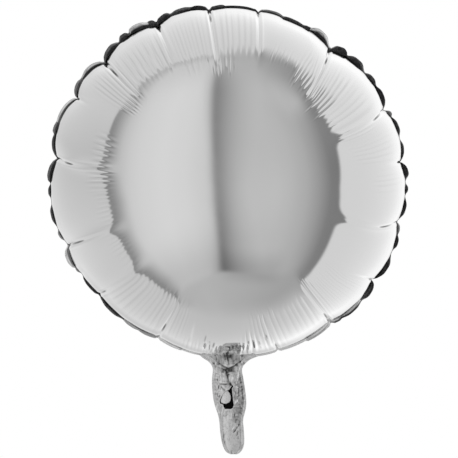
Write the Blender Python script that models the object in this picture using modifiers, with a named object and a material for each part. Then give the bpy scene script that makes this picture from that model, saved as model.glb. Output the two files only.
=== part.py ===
# Round foil balloon, 18 inches across when flat. Two film panels, dished by the gas between
# them, meet at a welded rim with a scalloped flange. Below, they end in a pointed pouch, and
# the weld runs on as a flat neck with an inflation hole and the films of a self-sealing valve.
# Metres, +Z up, the front faces -Y, and the origin is the centre of the seam.

import math

import bmesh
import bpy

MM = 0.001

# Driving dimensions
FLAT_RADIUS = 457.2 / 2 * MM         # 18 inch disc, centre to weld
SEAM_RADIUS = 0.7627 * FLAT_RADIUS   # what a flat disc shrinks to when it is blown up
FILM = 1.0 * MM                      # stand-in thickness of the panels
FLANGE = 1.6 * MM                    # stand-in thickness of the weld and of the neck's border
GAP = 0.3 * MM                       # between touching pieces

# Profile of the blown-up disc: the sine of its slope at a share of the seam's radius is
# a linear part, from the stretch of the film at the middle, and a power
PROFILE_LINEAR = 0.20
PROFILE_POWER = 2.25
PROFILE_STEPS = 24
RINGS = 10
SHARP_DEG = 50

# Where a lobe's columns stand between its folds, and those of the lobe over the neck
LOBE_SHARES = (0, 0.12, 0.3, 0.5, 0.7, 0.88)
POUCH_SHARES = (0, 0.1, 0.2, 0.3, 0.4, 0.5, 0.6, 0.7, 0.8, 0.9)

# Folds, clockwise from the top as seen from the front:
# angle at the rim and at the fold's inner end (deg), the inner end's radius over the seam's,
# how far the seam dips in at the fold (mm), how far the lobe after it stands out (mm)
FOLDS = (
    (9.5, 13.0, 0.73, 2.4, 1.4),
    (37.0, 44.0, 0.64, 9.5, 0.0),
    (64.5, 69.0, 0.67, 3.5, 2.0),
    (83.0, 84.0, 0.88, 2.0, 2.8),
    (102.5, 107.5, 0.69, 2.2, 2.8),
    (124.0, 125.0, 0.86, 1.6, 1.8),
    (143.5, 143.0, 0.72, 2.6, 0.9),
    (163.5, 165.0, 0.80, 1.2, 0.4),
    (172.0, 172.0, 0.85, 1.4, -1.4),
    (188.0, 188.0, 0.85, 1.4, -0.6),
    (204.5, 203.0, 0.75, 6.0, -2.2),
    (228.5, 226.0, 0.75, 4.2, 0.6),
    (248.5, 247.0, 0.74, 3.6, 3.4),
    (278.0, 276.0, 0.76, 2.2, 5.0),
    (299.0, 299.0, 0.90, 1.6, 3.6),
    (314.0, 313.0, 0.71, 4.2, 2.8),
    (335.0, 335.0, 0.77, 2.4, 2.6),
    (353.0, 354.0, 0.65, 2.2, 1.8),
)
LOBE_POWER = 2.4                     # how full a lobe is between its folds
FOLD_GROWTH = 1.8                    # how a fold deepens towards the rim
RIDGE = 1.6 * MM                     # how far a long fold stands up inside its dip
RIDGE_START = 0.55                   # share of the seam's radius where ridges begin
RIDGE_POWER = 1.5
LONG_FOLD = 0.30                     # a fold this share of the radius long has the whole ridge

# Pouch: between these two folds the seam points down to the neck
POUCH_START_DEG = 172.0
POUCH_END_DEG = 188.0
POUCH_DROP = 12.2 * MM
POUCH_POWER = 1.3
POUCH_FADE = 9.0 * MM                # depth over which the pouch runs out into the panel

# Flange outside the seam
SCALLOPS = 49
STATIONS_PER_SCALLOP = 4
FLANGE_WIDTH = 1.0 * MM              # between two scallops
SCALLOP_WIDTH = 3.0 * MM             # what a scallop adds
SCALLOP_POWER = 0.6                  # how full a scallop is
FLANGE_FLAT = 0.5 * MM               # how far out the flange runs flat before it bends
SCALLOP_BEND = 1.8 * MM              # how far the flange's edge bends forwards and back
FOLD_STATION_CLEAR_DEG = 0.7
ROOT_CLEAR_DEG = 0.15                # between the flange's ends and the neck's root

# Neck
HINGE_Z = -191.5 * MM                # where the neck folds
ROOT_BOTTOM_Z = HINGE_Z + FLANGE / 2 + GAP
NECK_FILM = 0.6 * MM
BORDER = 3.5 * MM                    # width of the neck's welded border
FILM_ON_BORDER = 1.5 * MM            # how far a film lies on the border
POCKET_TOP_Z = -198.0 * MM
POCKET_BOTTOM_Z = -231.0 * MM
FRONT_BULGE = 5.2 * MM
BACK_BULGE = 2.8 * MM

# Root of the neck, where the flange widens into it: outline from the flange's end to the
# hinge, left and right (mm)
ROOT_LEFT = ((-24.4, -173.9), (-19.6, -178.7), (-16.8, -183.2), (-15.9, -187.0))
ROOT_RIGHT = ((24.4, -173.9), (18.2, -178.2), (14.6, -183.2), (13.9, -187.0))

# Neck's outline, from the hinge down: height, left edge, right edge (mm)
NECK_ROWS = (
    (-190.7, -16.0, 14.2),
    (-198.0, -16.6, 15.0),
    (-207.0, -16.2, 16.5),
    (-217.0, -15.2, 17.5),
    (-225.0, -13.2, 17.0),
    (-232.4, -10.4, 14.9),
    (-241.0, -8.9, 14.7),
    (-251.0, -7.7, 15.3),
    (-260.0, -6.4, 15.2),
    (-266.8, -3.6, 12.8),
)
NECK_TIP = (4.6, -271.0)             # across, height (mm)
OUTLINE_STEPS = 3

# Inflation hole, in the neck's front film
HOLE_CENTRE = (-1.7 * MM, -214.3 * MM)
HOLE_HALF_WIDTH = 6.8 * MM
HOLE_HALF_HEIGHT = 10.8 * MM
HOLE_LEAN_DEG = 4.0

# Materials: name, colour, roughness, metallic
SILVER = ("silver_film", (0.82, 0.82, 0.83, 1.0), 0.12, 1.0)
CRIMPED = ("rim_film", (0.22, 0.22, 0.22, 1.0), 0.22, 1.0)
SATIN = ("neck_film", (0.66, 0.66, 0.67, 1.0), 0.35, 1.0)
VALVE = ("valve_film", (0.78, 0.78, 0.79, 1.0), 0.40, 0.0)
LINER = ("liner_film", (0.03, 0.03, 0.03, 1.0), 0.60, 0.0)

# Valve films: name, centre and half width across, bottom of the straight part, centre of the
# thickness (mm), material
VALVE_FILMS = (
    ("valve_tongue", -4.6, 5.6, -214.0, -0.4, VALVE),
    ("valve_liner", -0.6, 9.0, -219.0, 0.4, LINER),
)
VALVE_FILM = 0.5 * MM


def clear_scene():
    for obj in list(bpy.data.objects):
        bpy.data.objects.remove(obj, do_unlink=True)


def new_collection(name):
    collection = bpy.data.collections.new(name)
    bpy.context.scene.collection.children.link(collection)
    return collection


def new_material(name, colour, roughness, metallic):
    material = bpy.data.materials.new(name)
    material.use_nodes = True
    shader = material.node_tree.nodes["Principled BSDF"]
    shader.inputs["Base Color"].default_value = colour
    shader.inputs["Roughness"].default_value = roughness
    shader.inputs["Metallic"].default_value = metallic
    return material


def add_object(name, data, collection, finish):
    obj = bpy.data.objects.new(name, data)
    collection.objects.link(obj)
    data.materials.append(new_material(name + "_" + finish[0], *finish[1:]))
    return obj


def mix(start, end, share):
    return start + (end - start) * share


# The blown-up disc

def slope_sine(share):
    """Sine of the film's slope at a share of the seam's radius."""
    return PROFILE_LINEAR * share + (1 - PROFILE_LINEAR) * share ** PROFILE_POWER


def profile_depth(rim_share):
    """Distance from the seam plane at the share 1 - rim_share ** 2 of the seam's radius."""
    if rim_share == 0:
        return 0.0
    step = rim_share / PROFILE_STEPS
    total = 0.0
    for index in range(PROFILE_STEPS):
        place = (index + 0.5) * step
        sine = slope_sine(1 - place ** 2)
        total += sine / math.sqrt(1 - sine ** 2) * 2 * place * step
    return SEAM_RADIUS * total


def ridge_share(fold):
    """How much of the ridge a fold has: all of it if it is long, none if it is very short."""
    return min(1.0, (1 - fold[2]) / LONG_FOLD)


def lobe_columns():
    """One column for each line of points from the centre to the rim, folds included."""
    columns = []
    for index, fold in enumerate(FOLDS):
        rim, inner, reach, dip, crest = fold
        after = FOLDS[(index + 1) % len(FOLDS)]
        turn = 360 if after[0] < rim else 0
        span = after[0] + turn - rim
        rise = crest + (dip + after[3]) / 2
        over_neck = rim == POUCH_START_DEG
        for share in POUCH_SHARES if over_neck else LOBE_SHARES:
            beside = abs(2 * share - 1)
            columns.append({
                "rim": rim + span * share,
                "inner": mix(inner, after[1] + turn, share),
                "reach": mix(reach, after[2], share),
                "drop": (mix(dip, after[3], share) - rise * (1 - beside ** LOBE_POWER)) * MM,
                "ridge": RIDGE * beside ** RIDGE_POWER * mix(ridge_share(fold),
                                                             ridge_share(after), share),
                "pouch": POUCH_DROP * (1 - beside ** POUCH_POWER) if over_neck else 0.0,
            })
    return columns


def seam_radius(columns, angle):
    """Radius of the seam at an angle in degrees, read between its two columns."""
    for index, column in enumerate(columns):
        after = columns[(index + 1) % len(columns)]
        span = (after["rim"] - column["rim"]) % 360
        offset = (angle - column["rim"]) % 360
        if offset <= span:
            share = offset / span
            return (SEAM_RADIUS - mix(column["drop"], after["drop"], share)
                    + mix(column["pouch"], after["pouch"], share))
    return SEAM_RADIUS


def film_point(column, rim_share, side):
    """A point of the outer surface. side is -1 on the front panel and 1 on the back panel."""
    share = 1 - rim_share ** 2
    sine = slope_sine(share)
    along = min(1.0, max(0.0, (share - column["reach"]) / (1 - column["reach"])))
    inside = max(0.0, (share - RIDGE_START) / (1 - RIDGE_START))
    dip = column["drop"] * along ** FOLD_GROWTH
    dip -= column["ridge"] * math.sin(math.pi * inside) ** 2
    radius = SEAM_RADIUS * share - dip * sine
    depth = profile_depth(rim_share) - dip * math.sqrt(1 - sine ** 2)
    radius += column["pouch"] * math.exp(-depth / POUCH_FADE)
    lean = column["pouch"] / math.hypot(column["pouch"], POUCH_FADE)
    depth = max(depth, FLANGE / 2 + GAP + FILM * lean)
    angle = math.radians(mix(column["inner"], column["rim"], along))
    return (radius * math.sin(angle), side * depth, radius * math.cos(angle))


def make_panel(name, side, columns, collection):
    mesh = bmesh.new()
    centre = mesh.verts.new((0, side * profile_depth(1.0), 0))
    rings = []
    for index in range(1, RINGS + 1):
        rim_share = 1 - index / RINGS
        rings.append([mesh.verts.new(film_point(column, rim_share, side))
                      for column in columns])
    for index in range(len(columns)):
        after = (index + 1) % len(columns)
        mesh.faces.new((centre, rings[0][index], rings[0][after]))
        for inner, outer in zip(rings, rings[1:]):
            mesh.faces.new((inner[index], outer[index], outer[after], inner[after]))
    if side < 0:
        bmesh.ops.reverse_faces(mesh, faces=mesh.faces)
    data = bpy.data.meshes.new(name)
    mesh.to_mesh(data)
    mesh.free()
    data.shade_smooth()
    panel = add_object(name, data, collection, SILVER)
    wall = panel.modifiers.new("film", "SOLIDIFY")
    wall.thickness = FILM
    wall.offset = -1
    return panel


def flange_angles():
    """Stations along the flange, from one side of the neck round to the other."""
    start = POUCH_END_DEG
    sweep = 360 - (POUCH_END_DEG - POUCH_START_DEG)
    count = SCALLOPS * STATIONS_PER_SCALLOP
    angles = [start + sweep * index / count for index in range(count + 1)]
    for fold in FOLDS:
        rim = fold[0] if fold[0] >= start else fold[0] + 360
        inside = angles[0] + 1 < rim < angles[-1] - 1
        if inside:
            angles = [angle for angle in angles if abs(angle - rim) > FOLD_STATION_CLEAR_DEG]
            angles.append(rim)
            angles.sort()
    return angles


def loft(mesh, sections):
    """A closed solid through sections of four or more points, each joined to the next."""
    rows = [[mesh.verts.new(point) for point in section] for section in sections]
    for row, after in zip(rows, rows[1:]):
        for index in range(len(row)):
            second = (index + 1) % len(row)
            mesh.faces.new((row[index], row[second], after[second], after[index]))
    return rows


def finish_mesh(mesh, name):
    bmesh.ops.recalc_face_normals(mesh, faces=mesh.faces)
    data = bpy.data.meshes.new(name)
    mesh.to_mesh(data)
    mesh.free()
    data.shade_smooth()
    data.set_sharp_from_angle(angle=math.radians(SHARP_DEG))
    return data


def make_flange(columns, collection):
    angles = flange_angles()
    sweep = angles[-1] - angles[0]
    sections = []
    for angle in angles:
        phase = (angle - angles[0]) / sweep * SCALLOPS
        width = FLANGE_WIDTH + SCALLOP_WIDTH * abs(math.sin(math.pi * phase)) ** SCALLOP_POWER
        bend = SCALLOP_BEND * math.cos(2 * math.pi * phase)
        seam = seam_radius(columns, angle)
        across = math.sin(math.radians(angle))
        up = math.cos(math.radians(angle))
        spine = ((seam - FILM, 0), (seam + FLANGE_FLAT, 0), (seam + width, bend))
        front = [(radius * across, depth - FLANGE / 2, radius * up) for radius, depth in spine]
        back = [(radius * across, depth + FLANGE / 2, radius * up) for radius, depth in spine]
        sections.append(front + back[::-1])
    mesh = bmesh.new()
    rows = loft(mesh, sections)
    mesh.faces.new(rows[0])
    mesh.faces.new(rows[-1])
    return add_object("rim_flange", finish_mesh(mesh, "rim_flange"), collection, CRIMPED)


# Neck

def neck_edges(height):
    """Left and right edge of the neck at a height, all in metres."""
    for above, below in zip(NECK_ROWS, NECK_ROWS[1:]):
        if above[0] * MM >= height >= below[0] * MM:
            share = (above[0] * MM - height) / ((above[0] - below[0]) * MM)
            return mix(above[1], below[1], share) * MM, mix(above[2], below[2], share) * MM
    return NECK_ROWS[0][1] * MM, NECK_ROWS[0][2] * MM


def flat_outline(name, outlines, half_thickness, depth):
    """A flat piece facing -Y with round edges, from closed outlines of (across, height)."""
    curve = bpy.data.curves.new(name, "CURVE")
    curve.dimensions = "2D"
    curve.fill_mode = "BOTH"
    curve.bevel_depth = half_thickness
    curve.bevel_resolution = 1
    curve.offset = -half_thickness
    for outline in outlines:
        spline = curve.splines.new("POLY")
        spline.points.add(len(outline) - 1)
        for point, (across, height) in zip(spline.points, outline):
            point.co = (across, height, 0, 1)
        spline.use_cyclic_u = True
    obj = bpy.data.objects.new(name, curve)
    obj.location = (0, depth, 0)
    obj.rotation_euler = (math.pi / 2, 0, 0)
    return obj


def smooth_path(points, steps):
    """Points on a smooth open curve through the given ones."""
    padded = [points[0]] + points + [points[-1]]
    path = []
    for before, start, end, after in zip(padded, padded[1:], padded[2:], padded[3:]):
        for step in range(steps):
            t = step / steps
            path.append(tuple(
                0.5 * (2 * b + (c - a) * t + (2 * a - 5 * b + 4 * c - d) * t ** 2
                       + (3 * b - a - 3 * c + d) * t ** 3)
                for a, b, c, d in zip(before, start, end, after)))
    return path + [points[-1]]


def make_root(columns, collection):
    """The flat weld between the pouch's lip and the hinge."""
    lip = []
    for share in POUCH_SHARES + (1.0,):
        angle = mix(POUCH_START_DEG + ROOT_CLEAR_DEG, POUCH_END_DEG - ROOT_CLEAR_DEG, share)
        radius = seam_radius(columns, angle) - FILM
        lip.append((radius * math.sin(math.radians(angle)),
                    radius * math.cos(math.radians(angle))))
    _, left, right = NECK_ROWS[0]
    left_side = [(x * MM, z * MM) for x, z in ROOT_LEFT] + [(left * MM, ROOT_BOTTOM_Z)]
    right_side = [(x * MM, z * MM) for x, z in ROOT_RIGHT] + [(right * MM, ROOT_BOTTOM_Z)]
    outline = (lip + smooth_path(left_side, OUTLINE_STEPS)
               + smooth_path(right_side, OUTLINE_STEPS)[::-1])
    root = flat_outline("neck_root", (outline,), FLANGE / 2, 0)
    root.data.bevel_depth = 0
    root.data.offset = 0
    root.data.extrude = FLANGE / 2
    collection.objects.link(root)
    root.data.materials.append(new_material("neck_root_" + SATIN[0], *SATIN[1:]))
    return root


def make_border(collection):
    left = [(row[1] * MM, row[0] * MM) for row in NECK_ROWS]
    right = [(row[2] * MM, row[0] * MM) for row in reversed(NECK_ROWS)]
    tip = (NECK_TIP[0] * MM, NECK_TIP[1] * MM)
    outer = smooth_path(left + [tip] + right, OUTLINE_STEPS)
    pocket_left = []
    pocket_right = []
    rows = 8
    for index in range(rows + 1):
        height = mix(POCKET_TOP_Z, POCKET_BOTTOM_Z, index / rows)
        left_edge, right_edge = neck_edges(height)
        pocket_left.append((left_edge + BORDER, height))
        pocket_right.append((right_edge - BORDER, height))
    pocket = pocket_left + pocket_right[::-1]
    border = flat_outline("neck_border", (outer, pocket), FLANGE / 2, 0)
    collection.objects.link(border)
    border.data.materials.append(new_material("neck_border_" + SATIN[0], *SATIN[1:]))
    return border


def make_neck_film(name, side, bulge, collection):
    """A sheet that lies on the border all round and stands off it in the middle."""
    top = POCKET_TOP_Z + FILM_ON_BORDER
    bottom = POCKET_BOTTOM_Z - FILM_ON_BORDER
    inset = BORDER - FILM_ON_BORDER
    columns = 12
    rows = 12
    seat = FLANGE / 2 + GAP + NECK_FILM / 2
    mesh = bmesh.new()
    grid = []
    for row in range(rows + 1):
        down = row / rows
        height = mix(top, bottom, down)
        left_edge, right_edge = neck_edges(height)
        line = []
        for column in range(columns + 1):
            share = column / columns
            across = 2 * share - 1
            swell = (1 - across ** 2) * math.sin(math.pi * down) ** 0.6 if 0 < row < rows else 0
            line.append(mesh.verts.new((mix(left_edge + inset, right_edge - inset, share),
                                        side * (seat + bulge * swell), height)))
        grid.append(line)
    for upper, lower in zip(grid, grid[1:]):
        for column in range(columns):
            mesh.faces.new((upper[column], upper[column + 1], lower[column + 1], lower[column]))
    for face in mesh.faces:
        face.normal_update()
        if face.normal.y * side < 0:
            face.normal_flip()
    data = bpy.data.meshes.new(name)
    mesh.to_mesh(data)
    mesh.free()
    data.shade_smooth()
    film = add_object(name, data, collection, SATIN)
    wall = film.modifiers.new("film", "SOLIDIFY")
    wall.thickness = NECK_FILM
    wall.offset = 0
    return film


def cut_inflation_hole(film, cutters):
    bpy.ops.mesh.primitive_cylinder_add(vertices=24, radius=1, depth=30 * MM)
    cutter = bpy.context.object
    cutter.name = "inflation_hole"
    for vertex in cutter.data.vertices:
        vertex.co.x *= HOLE_HALF_WIDTH
        vertex.co.y *= HOLE_HALF_HEIGHT
    cutter.location = (HOLE_CENTRE[0], 0, HOLE_CENTRE[1])
    cutter.rotation_euler = (math.pi / 2, math.radians(HOLE_LEAN_DEG), 0)
    for collection in list(cutter.users_collection):
        collection.objects.unlink(cutter)
    cutters.objects.link(cutter)
    cutter.hide_render = True
    cutter.display_type = "WIRE"
    cut = film.modifiers.new("inflation hole", "BOOLEAN")
    cut.operation = "DIFFERENCE"
    cut.object = cutter


def make_valve_film(name, middle, half_width, straight_bottom, depth, finish, collection):
    """A strip with a round lower end, hanging in the pocket."""
    top = POCKET_TOP_Z - GAP
    outline = [((middle - half_width) * MM, top), ((middle + half_width) * MM, top)]
    steps = 12
    for step in range(steps + 1):
        turn = math.pi * step / steps
        outline.append(((middle + half_width * math.cos(turn)) * MM,
                        (straight_bottom - half_width * math.sin(turn)) * MM))
    film = flat_outline(name, (outline,), VALVE_FILM / 2, depth * MM)
    collection.objects.link(film)
    film.data.materials.append(new_material(name + "_" + finish[0], *finish[1:]))
    return film


def build_balloon():
    clear_scene()
    parts = new_collection("round foil balloon")
    cutters = new_collection("cutters")
    columns = lobe_columns()
    make_panel("front_panel", -1, columns, parts)
    make_panel("back_panel", 1, columns, parts)
    make_flange(columns, parts)
    make_root(columns, parts)
    make_border(parts)
    front_film = make_neck_film("neck_front_film", -1, FRONT_BULGE, parts)
    make_neck_film("neck_back_film", 1, BACK_BULGE, parts)
    cut_inflation_hole(front_film, cutters)
    for row in VALVE_FILMS:
        make_valve_film(*row, parts)


build_balloon()
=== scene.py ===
import math
from collections import Counter

import bpy
import numpy as np
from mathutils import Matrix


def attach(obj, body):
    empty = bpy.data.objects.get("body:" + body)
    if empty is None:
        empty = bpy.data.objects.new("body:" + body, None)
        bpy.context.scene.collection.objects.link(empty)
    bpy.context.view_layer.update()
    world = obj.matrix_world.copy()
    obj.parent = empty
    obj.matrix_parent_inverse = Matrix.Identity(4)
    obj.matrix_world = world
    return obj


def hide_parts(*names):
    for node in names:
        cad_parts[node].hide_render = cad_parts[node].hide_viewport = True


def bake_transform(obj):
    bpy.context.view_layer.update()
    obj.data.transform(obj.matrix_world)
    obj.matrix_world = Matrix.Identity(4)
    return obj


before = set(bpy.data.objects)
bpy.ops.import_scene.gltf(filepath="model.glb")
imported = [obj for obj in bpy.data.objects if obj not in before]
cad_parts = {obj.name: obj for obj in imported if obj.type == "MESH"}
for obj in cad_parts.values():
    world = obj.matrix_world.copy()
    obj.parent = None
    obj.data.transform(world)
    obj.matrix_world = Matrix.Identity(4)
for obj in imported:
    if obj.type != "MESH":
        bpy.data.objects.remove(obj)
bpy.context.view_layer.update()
print("frame loaded:", len(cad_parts), "nodes")

mm = 0.001
fullTone = 255


def smoothStep(low, high, value):
    t = np.clip((value - low) / (high - low), 0, 1)
    return t * t * (3 - 2 * t)


def mix(a, b, share):
    return a + (b - a) * share


def plug(tree, socket, value):
    if isinstance(value, bpy.types.NodeSocket):
        tree.links.new(value, socket)
    else:
        socket.default_value = value


# Inputs are given by name or number, as values or as sockets to link.
def feed(tree, node, inputs):
    for place, value in inputs.items():
        plug(tree, node.inputs[place], value)


def addNode(tree, kind, inputs=None, **settings):
    node = tree.nodes.new(kind)
    for name, value in settings.items():
        setattr(node, name, value)
    feed(tree, node, inputs or {})
    return node


def calc(tree, operation, *values, clamp=False):
    return addNode(tree, "ShaderNodeMath", dict(enumerate(values)),
                   operation=operation, use_clamp=clamp).outputs[0]


def blendTone(tree, share, low, high):
    return addNode(tree, "ShaderNodeMix", {0: share, 2: low, 3: high},
                   data_type="FLOAT").outputs[0]


def stepOver(tree, value, low, high):
    return addNode(tree, "ShaderNodeMapRange", {0: value, 1: low, 2: high, 3: 0.0, 4: 1.0},
                   interpolation_type="SMOOTHSTEP").outputs[0]


# Noise of 0 to 1 over the object, this many times a metre
def noise(tree, scale, detail=2.0):
    place = addNode(tree, "ShaderNodeTexCoord").outputs["Object"]
    return addNode(tree, "ShaderNodeTexNoise",
                   {"Vector": place, "Scale": scale, "Detail": detail}).outputs["Fac"]


# Spots above and below 0, by up to half of this share
def spots(tree, scale, share):
    return calc(tree, "MULTIPLY", calc(tree, "SUBTRACT", noise(tree, scale, 3.0), 0.5), share)


def stored(tree, name):
    return addNode(tree, "ShaderNodeAttribute", attribute_name=name).outputs["Fac"]


# Bumps this high, in metres, from a shade of 0 to 1
def addBump(tree, shader, height, distance):
    bump = addNode(tree, "ShaderNodeBump", {"Distance": distance, "Height": height})
    feed(tree, shader, {"Normal": bump.outputs[0]})


# Greys of 0 to 1 at places of 0 to 1
def greyRamp(tree, place, stops):
    ramp = addNode(tree, "ShaderNodeValToRGB", {0: place})
    elements = ramp.color_ramp.elements
    while len(elements) < len(stops):
        elements.new(0.5)
    for element, (where, tone) in zip(elements, stops):
        element.position = where
        element.color = (tone, tone, tone, 1)
    return ramp.outputs[0]


# Tones of 0 to 255 at places between low and high, read with value
def toneRamp(tree, value, low, high, stops):
    place = calc(tree, "DIVIDE", calc(tree, "SUBTRACT", value, low), high - low, clamp=True)
    return greyRamp(tree, place, [((where - low) / (high - low), tone / fullTone)
                                  for where, tone in stops])


def newMaterial(name, inputs):
    material = bpy.data.materials.new(name)
    material.use_nodes = True
    tree = material.node_tree
    shader = tree.nodes["Principled BSDF"]
    feed(tree, shader, inputs)
    return material, tree, shader


def addObject(name, data):
    obj = bpy.data.objects.new(name, data)
    bpy.context.scene.collection.objects.link(obj)
    return obj


def meshObject(name, points, faces, material):
    mesh = bpy.data.meshes.new(name)
    mesh.from_pydata([tuple(point) for point in points], [], faces)
    mesh.shade_smooth()
    mesh.materials.append(material)
    return addObject(name, mesh)


# Stores a number or a vector at each point of a mesh.
def storeValues(mesh, name, values):
    kind, field = ("FLOAT_VECTOR", "vector") if values.ndim > 1 else ("FLOAT", "value")
    layer = mesh.attributes.new(name, kind, "POINT")
    layer.data.foreach_set(field, values.ravel())


# The evaluated object's mesh as a new plain object; the old one is removed.
def madePlain(obj, name, material):
    depsgraph = bpy.context.evaluated_depsgraph_get()
    mesh = bpy.data.meshes.new_from_object(obj.evaluated_get(depsgraph))
    bpy.data.objects.remove(obj)
    mesh.name = name
    mesh.materials.clear()
    mesh.materials.append(material)
    return addObject(name, mesh)


# Camera: level, at the middle of the picture, 3 m in front
camera = {
    "distance": 3.0,
    "middle": (0.0005, -0.046),      # across and up
    "shownWidth": 0.458,             # at the seam's plane
    "sensor": 36.0,
}


def placeCamera():
    scene = bpy.context.scene
    data = bpy.data.cameras.new("camera")
    data.sensor_width = camera["sensor"]
    data.lens = camera["sensor"] * camera["distance"] / camera["shownWidth"]
    holder = addObject("camera", data)
    across, up = camera["middle"]
    holder.location = (across, -camera["distance"], up)
    holder.rotation_euler = (math.pi / 2, 0, 0)
    scene.camera = holder
    scene.view_settings.view_transform = "Standard"


# What the film mirrors: a room's grey corner in front, white walls round it and behind.
# Tones are as they show in the film, from 0 to 255. Bearings are degrees to the right of
# straight ahead, turns are degrees clockwise from the top.
studio = {
    "bearings": (-70, 70),           # the tones by bearing are read between these
    "wallByBearing": [(-70, 172), (-60, 176), (-49, 184), (-44, 190), (-38, 199), (-32, 204),
                      (-19, 209), (-10, 206), (-4, 198), (-1, 188), (3, 178), (6, 180),
                      (12, 180), (18, 177), (26, 167), (33, 149), (42, 119), (50, 112),
                      (70, 104)],
    "cornerSteps": (-15, 50),        # the corner itself, in steps across its own width
    "cornerTones": [(-15, 199), (-12, 196), (-8, 188), (-5, 163), (-2, 134), (0, 126),
                    (2, 130), (5, 138), (9, 148), (15, 160), (23, 171), (33, 178), (45, 182)],
    "cornerBearing": -1.8,
    "cornerLean": 0.095,             # how far the corner leans left for each degree up
    "cornerUnit": 0.14,              # degrees for each step across it, at eye level
    "cornerWidening": 0.06,          # and this much wider for each degree up or down
    "eyeLevelLight": 5.0,            # the right wall is this much lighter at eye level
    "ceiling": (32.0, 58.0),         # heights between which the wall turns into the ceiling
    "ceilingByBearing": [(-40, 192), (-8, 194), (-4.5, 190), (-2.5, 156), (-0.9, 148),
                         (0.8, 160), (3, 161), (6.4, 168), (11, 172), (27, 169), (40, 168)],
    "liftBase": 20,                  # what liftByTurn adds to the wall further out is over this
    "liftByTurn": [(0, 20), (14, 20), (20, 24), (30, 38), (40, 55), (50, 34), (60, 30),
                   (80, 22), (105, 24), (120, 24), (140, 28), (165, 20), (360, 20)],
    "floorEdge": -32.0,
    "floorFallRight": 0.21,
    "floorFallLeft": 0.62,
    "floorByBearing": [(-45, 178), (-20, 174), (-12, 175), (-1.5, 170), (5, 168), (13, 165),
                       (22, 161), (33, 157), (48, 154)],
    "footLeft": 24.0,                # how much darker the wall is just above the floor
    "footRight": 20.0,
    "floorShade": 12.0,              # and the floor along the right wall
    "openingByTurn": [(0, 65), (8, 70), (14, 72), (20, 74), (30, 74), (34, 72.5), (40, 66),
                      (50, 54), (70, 51), (92, 48.6), (118, 53), (135, 57.5), (143, 61),
                      (150, 68), (160, 70), (172, 67), (186, 68), (200, 68), (212, 61.5),
                      (240, 59.5), (260, 56.7), (280, 63), (300, 67.8), (322, 68.5),
                      (345, 66), (360, 64)],
    "openingSoft": [(0, 6.0), (8, 10.0), (14, 10.0), (20, 9.0), (30, 6.0), (40, 1.8),
                    (138, 1.6), (150, 13.0), (172, 13.0), (190, 10.0), (208, 1.2), (300, 1.2),
                    (322, 3.0), (336, 1.4), (350, 2.0), (360, 6.0)],
    "fringeWidth": [(0, 10), (10, 14), (20, 30), (30, 26), (50, 18), (300, 18), (320, 14),
                    (335, 7), (352, 7), (360, 10)],
    "fringeByTurn": [(0, 6), (8, 8), (14, 14), (20, 22), (30, 30), (42, 22), (52, 4), (60, 0),
                     (195, 0), (212, 42), (240, 50), (270, 52), (296, 44), (316, 23),
                     (335, 18), (350, 16), (360, 6)],
    "nearByTurn": [(0, 199), (15, 200), (40, 210), (80, 205), (140, 204), (152, 188),
                   (162, 184), (175, 182), (195, 184), (210, 190), (250, 195), (282, 181),
                   (300, 193), (322, 194), (345, 199), (360, 199)],
    "farByTurn": [(0, 238), (30, 252), (60, 242), (80, 238), (130, 240), (150, 248),
                  (168, 240), (182, 216), (200, 212), (220, 208), (240, 215), (262, 206),
                  (285, 195), (300, 204), (320, 215), (340, 226), (360, 238)],
    "rearByTurn": [(0, 240), (40, 246), (100, 246), (130, 242), (150, 222), (168, 196),
                   (200, 190), (222, 190), (242, 216), (262, 208), (285, 194), (335, 218),
                   (360, 240)],
    "behind": 216,                   # one tone straight behind, where all the turns meet
    "gain": 1.20,                    # makes up for what the film swallows
    # where each light or shade fades in, as degrees from none of it to all of it
    "cornerIn": (-15.0, -11.0),      # in steps across the corner
    "cornerOut": (50.0, 36.0),
    "eyeLevel": -3.0,
    "eyeLevelReach": (14.0, 0.0),
    "glowPastCorner": (5.0, 15.0),
    "glowOnRight": (22.0, 10.0),
    "liftOff": (28.0, 48.0),         # off straight ahead
    "floorFallFrom": -3.0,           # left of here the floor's edge falls to the left
    "floorSoft": (1.6, 0.09),        # half width of its edge, and how it grows to the sides
    "rightWallIn": (-6.0, 2.0),
    "rightWallOut": (32.0, 14.0),
    "footLeftHeight": (-30.0, -4.0),
    "footLeftBearing": (2.0, -6.0),
    "footRightHeight": (-16.0, -2.0),
    "floorShadeDepth": (10.0, 0.0),
    "whiteFrom": 60.0,               # the white walls change from near to far over
    "whiteSpan": 75.0,               # this much further out
    "whiteCurve": 2.0,
    "rearOff": (134.0, 156.0),
    "behindOff": (148.0, 172.0),
    "displayCurve": 2.2,             # from tones as they show to light
}


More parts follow.
